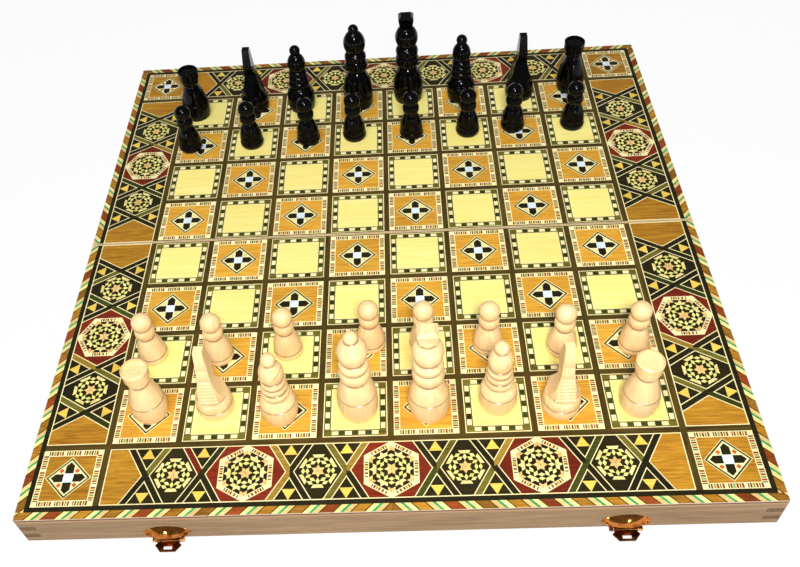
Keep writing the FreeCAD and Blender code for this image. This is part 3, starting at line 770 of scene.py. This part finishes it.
def lay_straps():
    """The dark straps between the squares and round the field."""
    half = STRAP / 2
    sheets = []
    for line in range(-4, 5):
        middle = line * PITCH
        far = FRIEZE_OUTER if abs(line) == 4 else FIELD_EDGE
        sheets.append(plain_strip((middle - half, LIPPING), (middle + half, far), "strap_y"))
    for column in range(8):
        left = (column - 4) * PITCH + half
        right = left + SQUARE
        sheets.append(plain_strip((left, LIPPING), (right, half), "strap_x"))
        for line in (1, 2, 3):
            middle = line * PITCH
            sheets.append(plain_strip((left, middle - half), (right, middle + half), "strap_x"))
    sheets.append(plain_strip((-FIELD_EDGE, FIELD_EDGE), (FIELD_EDGE, FRIEZE_INNER), "strap_x"))
    for side in SIDES:
        left, right = sorted((side * FRIEZE_INNER, side * FRIEZE_OUTER))
        sheets.append(plain_strip((left, FIELD_EDGE), (right, FRIEZE_INNER), "strap_x"))
    return sheets


def lay_edges():
    """The black band round the frieze, the bare lipping along the seam and the rope round the edge."""
    sheets = []
    for side in SIDES:
        left, right = sorted((side * FRIEZE_OUTER, side * BAND_OUTER))
        sheets.append(plain_strip((left, LIPPING), (right, FRIEZE_OUTER), "ebony"))
    sheets.append(plain_strip((-BAND_OUTER, FRIEZE_OUTER), (BAND_OUTER, BAND_OUTER), "ebony"))
    sheets.append(plain_strip((-BOARD_EDGE, SEAM), (BOARD_EDGE, LIPPING), "lipping"))
    back_rope = rope(0, BOARD_EDGE, BAND_OUTER, BOARD_EDGE, 1)
    sheets.append(copy_of(back_rope))
    sheets.append(copy_of(back_rope, mirror=True))
    side_rope = rope(LIPPING, BAND_OUTER, 0, BOARD_EDGE - BAND_OUTER, -1)
    right_rope = copy_of(side_rope, (BOARD_EDGE, 0), 90)
    sheets.append(right_rope)
    sheets.append(copy_of(right_rope, mirror=True))
    return sheets


def lay_rear_board():
    """The rear half's playing surface as one flat sheet of many woods."""
    pick(*lay_squares(), *lay_friezes(), *lay_stars(), *lay_straps(), *lay_edges())
    bpy.ops.object.join()
    board = bpy.context.object
    scrap = [piece for piece in bpy.context.scene.objects
             if piece.type == "MESH" and "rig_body" not in piece and piece != board]
    pick(*scrap)
    bpy.ops.object.delete()
    return board


def split_by_wood(board):
    """Separates a laid board into one piece for each wood, and gives each the veneer's thickness."""
    pick(board)
    bpy.ops.object.mode_set(mode="EDIT")
    bpy.ops.mesh.select_all(action="SELECT")
    bpy.ops.mesh.separate(type="MATERIAL")
    bpy.ops.object.mode_set(mode="OBJECT")
    pieces = {}
    for piece in list(bpy.context.selected_objects):
        pick(piece)
        thick = piece.modifiers.new("thickness", "SOLIDIFY")
        thick.thickness = VENEER
        thick.offset = -1
        bpy.ops.object.modifier_apply(modifier=thick.name)
        pieces[piece.data.materials[0].name] = piece
    return pieces


STANDS_FOR = {"strap_along_x": "strapwork", "maple_squares": "light_squares", "ochre_inlay": "dark_squares",
              "red_inlay": "medallions"}

rear_pieces = split_by_wood(lay_rear_board())
for half, turn in HALVES.items():
    for wood_name, rear_piece in rear_pieces.items():
        piece = rear_piece if half == "rear" else copy_of(rear_piece, turn=turn)
        piece.name = f"{half}_{wood_name}"
        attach(piece, f"{half}_half")
        if wood_name in STANDS_FOR:
            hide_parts(f"{half}_{STANDS_FOR[wood_name]}")


# Finishes of the carcase, the fittings and the men.
def raw_wood(name, along):
    """Bare pale wood, darker where the ends of the grain show."""
    finish = Finish(name, Specular_IOR_Level=0.2)
    figure = finish.noise(finish.place(grain_scale(along, 2.4, 60)), 6.0, 0.65, 0.8)
    fibre = finish.noise(finish.place(grain_scale(along, 0.35, 14)), 3.0, 0.6)
    face = finish.ramp(figure * 0.55 + fibre * 0.45, [
        (0.36, tone(122, 96, 68)), (0.52, tone(148, 120, 88)), (0.66, tone(166, 138, 104))])
    rings = finish.noise(finish.place(grain_scale(along, 1.1, 1000)), 3.0, 0.6, 1.5)
    end = finish.ramp(rings, [(0.35, tone(92, 66, 44)), (0.65, tone(128, 98, 68))])
    facing = finish.node("ShaderNodeTexCoord", out="Normal")
    lengthwise = finish.node("ShaderNodeSeparateXYZ", None, {0: facing}, out=along.upper())
    finish.feed("Base Color", finish.mix(lengthwise * lengthwise > 0.5, face, end))
    finish.feed("Roughness", 0.5 + fibre * 0.25)
    finish.bump(fibre + figure * 0.5, 0.18, 0.0003)
    return finish


def plywood():
    """The panel under the veneer: bare inside, with a dark glue line and its plies at the edge."""
    low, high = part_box("rear_panel")
    finish = Finish("panel_plywood", Specular_IOR_Level=0.2)
    figure = finish.noise(finish.place(grain_scale("x", 2.8, 70)), 6.0, 0.6, 0.7)
    face = finish.ramp(figure, [(0.35, tone(186, 156, 114)), (0.66, tone(226, 204, 164))])
    where = finish.node("ShaderNodeTexCoord", out="Object")
    height = finish.node("ShaderNodeSeparateXYZ", None, {0: where}, out="Z")
    ply = (height - low.z) * (1 / (high.z - low.z))
    plies = finish.ramp(ply, [
        (0.0, tone(182, 152, 118)), (0.3, tone(170, 138, 104)), (0.34, tone(196, 166, 130)),
        (0.56, tone(190, 158, 122)), (0.62, tone(110, 72, 54)), (1.0, tone(128, 88, 66))])
    facing = finish.node("ShaderNodeTexCoord", out="Normal")
    facing_up = finish.node("ShaderNodeSeparateXYZ", None, {0: facing}, out="Z")
    edge = finish.mix(0.35, plies, face, "MULTIPLY")
    finish.feed("Base Color", finish.mix(facing_up * facing_up > 0.5, edge, face))
    finish.feed("Roughness", 0.5 + figure * 0.25)
    finish.bump(figure, 0.15, 0.0003)
    return finish


def metal(name, light, dull, rough):
    """Polished metal under a thin, patchy tarnish."""
    finish = Finish(name, Metallic=1.0)
    patch = finish.noise(finish.place((240, 240, 240)), 3.0, 0.55, 0.4)
    scuff = finish.noise(finish.place((2600, 700, 2600)), 3.0, 0.7)
    finish.feed("Base Color", finish.ramp(patch, [(0.38, dull), (0.58, light)]))
    finish.feed("Roughness", rough + patch * 0.05 + scuff * 0.05)
    finish.bump(scuff, 0.02, 0.0001)
    return finish


WALL_ALONG_X = raw_wood("raw_wall_x", "x")
WALL_ALONG_Y = raw_wood("raw_wall_y", "y")
PANEL = plywood()
BRASS = metal("bright_brass", tone(206, 130, 62), tone(150, 82, 30), 0.03)
# A darker, rougher copy of the brass for parts in shadow, the clasp tongues below the clasps and the hinge
# leaves under the board: its darker colour is painted shade.
SHADED_BRASS = metal("shaded_brass", tone(132, 82, 40), tone(84, 48, 22), 0.12)
STEEL = metal("pin_steel", tone(190, 186, 178), tone(128, 122, 114), 0.2)

# The grooves of each kind of man, by their heights above the board, where painted shade darkens them.
GROOVES = {
    "pawn": (5.0, 19.8, 28.2),
    "rook": (13.6, 28.6, 34.2),
    "knight": (7.2, 14.7),
    "bishop": (13.2, 19.6, 25.0, 29.8, 34.2, 47.6),
    "queen": (17.8, 30.3, 40.4, 46.7, 63.7),
    "king": (16.2, 28.5, 39.4, 46.3, 61.9),
}


def boxwood(name, grooves, painted_shade=0.9):
    """Pale, waxed wood with painted shade in its grooves."""
    return wood(name, tone(246, 196, 132), tone(255, 226, 172), "z", 3.0, 60, spread=0.05,
                rough=(0.26, 0.36), shine=0.45, coat=0.15, pores=0.05, grooves=grooves, painted_shade=painted_shade)


WHITE_MEN = {kind: boxwood(f"white_{kind}_boxwood", grooves) for kind, grooves in GROOVES.items()}
BLACK_MEN = wood("black_men_lacquer", tone(1, 1, 2), tone(5, 5, 6), "z", 2.2, 36, spread=0.1,
                 rough=(0.07, 0.11), shine=0.17, coat=0.0, pores=0.1)


def dress(node_name, finish):
    """Gives a node of the part its finish."""
    slots = nodes[node_name].data.materials
    slots.clear()
    slots.append(finish.material)


for half in HALVES:
    for wall in ("outer_wall", "hinge_wall"):
        dress(f"{half}_{wall}", WALL_ALONG_X)
    for wall in ("left_wall", "right_wall"):
        dress(f"{half}_{wall}", WALL_ALONG_Y)
    dress(f"{half}_panel", PANEL)
    # The hinge leaves take the shaded brass: painted shade.
    dress(f"{half}_hinge_leaves", SHADED_BRASS)
for name in ("clasp_plates", "catch_plates"):
    dress(name, BRASS)
# The clasp tongues take the shaded brass: painted shade.
for name in ("clasp_tongue_left", "clasp_tongue_right"):
    dress(name, SHADED_BRASS)
for name in ("hinge_pins", "clasp_pins"):
    dress(name, STEEL)
for name in nodes:
    if name.startswith("white_"):
        dress(name, WHITE_MEN[name.split("_")[1]])
    if name.startswith("black_"):
        dress(name, BLACK_MEN)


def make_piece(piece, name, finish, body):
    """Names a finished piece, gives it its finish and lets it ride a body."""
    piece.name = name
    piece.data.name = name
    piece.data.materials.clear()
    piece.data.materials.append(finish.material)
    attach(piece, body)


# A pale line of bare veneer shows round the three outer edges of each half.
EDGE_STAND = 0.06
EDGE_ROUNDING = 0.03


def edge_line():
    """The veneer's edge along the rear half's left, back and right sides."""
    low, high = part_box("rear_strapwork")
    middle = (low + high) / 2
    out = EDGE_STAND * MM
    side_size = (2 * out, high.y - low.y, VENEER)
    strips = []
    for place, size in (((middle.x, high.y, middle.z), (high.x - low.x + 2 * out, 2 * out, VENEER)),
                        ((low.x, middle.y, middle.z), side_size),
                        ((high.x, middle.y, middle.z), side_size)):
        deselect()
        bpy.ops.mesh.primitive_cube_add(size=1, location=place)
        strip = bpy.context.object
        strip.scale = size
        bpy.ops.object.transform_apply()
        bpy.ops.object.mode_set(mode="EDIT")
        bpy.ops.mesh.select_all(action="SELECT")
        bpy.ops.mesh.bevel(offset=EDGE_ROUNDING * MM, segments=1)
        bpy.ops.object.mode_set(mode="OBJECT")
        strips.append(strip)
    pick(*strips)
    bpy.ops.object.join()
    return bpy.context.object


EDGE = wood("bare_veneer_edge", tone(186, 166, 140), tone(222, 206, 182), "x", 0.5, 18, shine=0.15,
            coat=0.0)
rear_edge = edge_line()
for half, turn in HALVES.items():
    piece = rear_edge if half == "rear" else copy_of(rear_edge, turn=turn)
    make_piece(piece, f"{half}_veneer_edge", EDGE, f"{half}_half")

# Small fastenings: round nails in the clasps and catches, and slotted screws in the hinges. Each nail is
# set where a ray from outside meets its plate. The screws' slots point every way.
CLASP_SPACING = 243.0
CLASP_NAIL_OUT = 10.4
CATCH_NAIL_OUT = 7.8
HINGE_SPACING = 220.0
SCREW_SPREAD = 10.0
SCREW_IN = 5.2
NAIL_LEVELS = ((0.95, 0.0), (1.0, 0.25), (0.85, 0.5), (0.55, 0.7), (0.2, 0.8))
NAIL_SUNK = 0.2
SCREW_RADIUS = 1.9
SCREW_PROUD = 0.08
SCREW_DEPTH = 0.6
SLOT_WIDTH = 0.5
SLOT_DEPTH = 0.35
SLOT_BORDER = 0.05
SLOT_STEP = 37
SLOT_SHIFT = 20
ROUND_CORNERS = 20
RAY_START = 300.0


def turned(levels):
    """A round piece built up along Z from its levels, each a radius and a height in millimetres."""
    deselect()
    bpy.ops.mesh.primitive_circle_add(vertices=ROUND_CORNERS, radius=levels[0][0] * MM, fill_type="NGON",
                                      location=(0, 0, levels[0][1] * MM))
    piece = bpy.context.object
    bpy.ops.object.mode_set(mode="EDIT")
    bpy.ops.mesh.select_all(action="SELECT")
    for (radius, height), (next_radius, next_height) in zip(levels, levels[1:]):
        rise = (next_height - height) * MM
        bpy.ops.mesh.extrude_region_move(TRANSFORM_OT_translate={"value": (0, 0, rise)})
        share = next_radius / radius
        bpy.ops.transform.resize(value=(share, share, 1))
    bpy.ops.mesh.select_all(action="SELECT")
    bpy.ops.mesh.normals_make_consistent(inside=False)
    bpy.ops.object.mode_set(mode="OBJECT")
    bpy.ops.object.transform_apply()
    bpy.ops.object.shade_smooth_by_angle(angle=SMOOTH_ANGLE)
    return piece


def screw():
    """A flat screw head about the origin, its face up, with a slot sawn across it."""
    deselect()
    bpy.ops.mesh.primitive_cylinder_add(vertices=ROUND_CORNERS, radius=SCREW_RADIUS * MM,
                                        depth=SCREW_DEPTH * MM,
                                        location=(0, 0, (SCREW_PROUD - SCREW_DEPTH / 2) * MM))
    head = bpy.context.object
    bpy.ops.object.transform_apply()
    bpy.ops.object.mode_set(mode="EDIT")
    bpy.ops.mesh.select_mode(type="FACE")
    for side in SIDES:
        bpy.ops.mesh.select_all(action="SELECT")
        bpy.ops.mesh.bisect(plane_co=(0, side * SLOT_WIDTH / 2 * MM, 0), plane_no=(0, 1, 0))
    bpy.ops.mesh.select_all(action="DESELECT")
    for face in bmesh.from_edit_mesh(head.data).faces:
        face.select_set(face.normal.z > TOP_FACING and abs(face.calc_center_median().y) < SLOT_WIDTH / 2 * MM)
    bpy.ops.mesh.inset(thickness=SLOT_BORDER * MM)
    bpy.ops.mesh.extrude_region_move(TRANSFORM_OT_translate={"value": (0, 0, -SLOT_DEPTH * MM)})
    bpy.ops.object.mode_set(mode="OBJECT")
    return head


def set_in(piece, place, face, spin=0.0):
    """A copy of a piece at a place in metres, its top facing the given way."""
    pick(piece)
    bpy.ops.object.duplicate()
    twin = bpy.context.object
    aim = Vector(face).to_track_quat("Z", "Y").to_matrix().to_4x4()
    twin.matrix_world = Matrix.Translation(place) @ aim @ Matrix.Rotation(math.radians(spin), 4, "Z")
    bpy.ops.object.transform_apply()
    return twin


def fastenings(name, copies, body):
    """Joins copies to one brass piece, riding a body."""
    pick(*copies)
    bpy.ops.object.join()
    make_piece(bpy.context.object, name, BRASS, body)


nail = turned(NAIL_LEVELS)
for name, node_name, out, outward in (("clasp_nails", "clasp_plates", CLASP_NAIL_OUT, -1),
                                      ("catch_nails", "catch_plates", CATCH_NAIL_OUT, 1)):
    low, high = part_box(node_name)
    plate = nodes[node_name]
    copies = []
    for side in SIDES:
        for end in SIDES:
            across = (side * CLASP_SPACING / 2 + end * out) * MM
            outside = Vector((across, outward * RAY_START * MM, (low.z + high.z) / 2))
            found, place = plate.ray_cast(outside, (0, -outward, 0))[:2]
            if not found:
                raise RuntimeError(f"no plate under a nail of {node_name}")
            seat = place - Vector((0, outward * NAIL_SUNK * MM, 0))
            copies.append(set_in(nail, seat, (0, outward, 0)))
    fastenings(name, copies, "front_half" if outward < 0 else "rear_half")

head = screw()
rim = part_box("rear_outer_wall")[0].z
for half, inward in (("rear", 1), ("front", -1)):
    copies = []
    for side in SIDES:
        for step in (-1, 0, 1):
            across = (side * HINGE_SPACING / 2 + step * SCREW_SPREAD) * MM
            spin = SLOT_STEP * (step + 2 * side) + SLOT_SHIFT * inward
            copies.append(set_in(head, (across, inward * SCREW_IN * MM, rim), (0, 0, -1), spin))
    fastenings(f"{half}_hinge_screws", copies, f"{half}_half")
pick(nail, head)
bpy.ops.object.delete()

# The knights' manes: a stair of shingles up the back of the neck, and two flat pads along the crest. The
# back slopes between two points, each given by its distance behind the knight's middle and above the
# board. Each pad has its lower and upper height and its half width at each.
BACK_FOOT = (8.4, 15.4)
BACK_TOP = (1.6, 53.4)
BACK_SLOPE = (BACK_FOOT[0] - BACK_TOP[0]) / (BACK_TOP[1] - BACK_FOOT[1])
SHINGLES = 7
SHINGLE_START = 16.4
SHINGLE_RISE = 2.4
SHINGLE_HALVES = (5.7, 3.4)
SHINGLE_STANDS = (1.15, 0.0)
PADS = ((33.4, 40.4, 3.0, 2.75), (41.0, 52.9, 2.75, 2.45))
PAD_STAND = 0.4
# How strong the painted shade is at the foot of each shingle of the mane and of the upper pad.
MANE_PAINTED_SHADE = 0.3
MANE_DEPTH = 2.2
MANE_ROUNDING = 0.25


def mane_block(bottom, top, half_bottom, half_top, stand_bottom, stand_top):
    """One block of the mane between two heights, by its half widths and how far it stands off the back."""
    height = top - bottom
    middle = (bottom + top) / 2
    deselect()
    bpy.ops.mesh.primitive_cube_add(size=1)
    block = bpy.context.object
    block.scale = (2 * half_bottom * MM, MANE_DEPTH * MM, height * MM)
    bpy.ops.object.transform_apply()
    bpy.ops.object.mode_set(mode="EDIT")
    bpy.ops.mesh.select_mode(type="FACE")
    bpy.ops.mesh.select_all(action="DESELECT")
    for face in bmesh.from_edit_mesh(block.data).faces:
        face.select_set(face.normal.z > TOP_FACING)
    bpy.ops.transform.resize(value=(half_top / half_bottom, 1, 1))
    bpy.ops.mesh.select_all(action="SELECT")
    bpy.ops.mesh.bevel(offset=MANE_ROUNDING * MM, segments=2)
    bpy.ops.object.mode_set(mode="OBJECT")
    back = BACK_FOOT[0] - (middle - BACK_FOOT[1]) * BACK_SLOPE
    stand = (stand_bottom + stand_top) / 2
    block.location = (0, (MANE_DEPTH / 2 - back - stand) * MM, BOARD_TOP + middle * MM)
    block.rotation_euler = (-math.atan(BACK_SLOPE + (stand_bottom - stand_top) / height), 0, 0)
    bpy.ops.object.transform_apply()
    return block


blocks = [mane_block(*pad, PAD_STAND, PAD_STAND) for pad in PADS]
for step in range(SHINGLES):
    bottom = SHINGLE_START + SHINGLE_RISE * step
    widest, narrowest = SHINGLE_HALVES
    halves = [widest + (narrowest - widest) * (step + up) / SHINGLES for up in (0, 1)]
    blocks.append(mane_block(bottom, bottom + SHINGLE_RISE, *halves, *SHINGLE_STANDS))
pick(*blocks)
bpy.ops.object.join()
mane = bpy.context.object
bpy.ops.object.shade_smooth_by_angle(angle=SMOOTH_ANGLE)
steps = [SHINGLE_START + SHINGLE_RISE * step for step in range(SHINGLES + 1)]
# The white manes get painted shade at the foot of each shingle and of the upper pad.
MANE = boxwood("white_mane_boxwood", steps + [pad[0] for pad in PADS[1:]], MANE_PAINTED_SHADE)
for colour, turn, finish in (("white", 0, MANE), ("black", 180, BLACK_MEN)):
    for file in ("b", "g"):
        knight = f"{colour}_knight_{file}"
        low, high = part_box(knight)
        piece = copy_of(mane, ((low.x + high.x) / 2 / MM, (low.y + high.y) / 2 / MM), turn)
        make_piece(piece, f"{knight}_mane", finish, nodes[knight]["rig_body"])
pick(mane)
bpy.ops.object.delete()

# The stage: a pale floor that reads as white to the camera, and soft light. Each lamp has its place, the
# point that it faces, its width and its watts.
FLOOR_SIZE = 60.0
FLOOR_GLOW = 0.9
SPECKLE_SCALE = (40, 40, 40)
ROOM_LIGHT = 0.2
LAMPS = (
    ("flash", (0.06, -0.52, 0.62), (0, -0.02, 0.02), 0.12, 4.7),
    ("fill", (-0.2, -0.5, 1.5), (0, 0.05, 0.02), 0.6, 11.0),
    ("left_glint", (-0.33, -0.96, 0.09), (-0.12, -0.2, 0.01), 0.06, 0.4),
    ("right_glint", (0.33, -0.96, 0.09), (0.12, -0.2, 0.01), 0.06, 0.4),
)

deselect()
bpy.ops.mesh.primitive_plane_add(size=FLOOR_SIZE, location=(0, 0, cad_low.z))
floor = bpy.context.object
floor.name = "floor"
paper = Finish("floor_paper", Roughness=0.9)
speckle = paper.noise(paper.place(SPECKLE_SCALE), 2.0)
paper.feed("Base Color", paper.ramp(speckle, [(0.3, (0.88, 0.88, 0.88)), (0.7, (0.9, 0.9, 0.9))]))
seen = paper.node("ShaderNodeLightPath", out="Is Camera Ray")
mirrored = paper.node("ShaderNodeLightPath", out="Is Glossy Ray")
through = paper.node("ShaderNodeLightPath", out="Is Transmission Ray")
glow = paper.node("ShaderNodeEmission", None, {"Color": (1, 1, 1, 1), "Strength": 1.0})
own = Reading(paper, paper.shader.outputs[0])
share = (seen + mirrored + through) * FLOOR_GLOW
blended = paper.node("ShaderNodeMixShader", None, {0: share, 1: own, 2: glow})
paper.tree.links.new(blended.socket, paper.tree.nodes["Material Output"].inputs["Surface"])
floor.data.materials.append(paper.material)
floor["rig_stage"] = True

world = bpy.data.worlds.new("studio")
bpy.context.scene.world = world
world.use_nodes = True
backdrop = world.node_tree.nodes["Background"]
backdrop.inputs["Color"].default_value = (1, 1, 1, 1)
backdrop.inputs["Strength"].default_value = ROOM_LIGHT

for name, place, target, width, watts in LAMPS:
    lamp = bpy.data.lights.new(name, "AREA")
    lamp.shape = "SQUARE"
    lamp.size = width
    lamp.energy = watts
    holder = bpy.data.objects.new(name, lamp)
    bpy.context.scene.collection.objects.link(holder)
    holder.location = place
    holder.rotation_euler = (Vector(target) - Vector(place)).to_track_quat("-Z", "Y").to_euler()

# The camera stands above White's side, turned a little, as the photograph was taken. Angles in radians.
CAMERA_PLACE = (0.01356, -0.40732, 0.44106)
CAMERA_ROLL = 0.0997507
CAMERA_TILT = 0.7335187
CAMERA_TURN = 0.0795952
SENSOR_WIDTH = 36.0
LENS = 39.28
LENS_SHIFT = (0.0471, -0.0172)
CLIP_START = 0.01

camera_data = bpy.data.cameras.new("camera")
camera_data.sensor_width = SENSOR_WIDTH
camera_data.lens = LENS
camera_data.shift_x, camera_data.shift_y = LENS_SHIFT
camera_data.clip_start = CLIP_START
camera = bpy.data.objects.new("camera", camera_data)
bpy.context.scene.collection.objects.link(camera)
aim = Matrix.Rotation(CAMERA_TURN, 4, "Z") @ Matrix.Rotation(CAMERA_TILT, 4, "X")
aim = aim @ Matrix.Rotation(-CAMERA_ROLL, 4, "Z")
camera.matrix_world = Matrix.Translation(CAMERA_PLACE) @ aim
bpy.context.scene.camera = camera
bpy.context.scene.view_settings.view_transform = "Standard"

low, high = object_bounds()
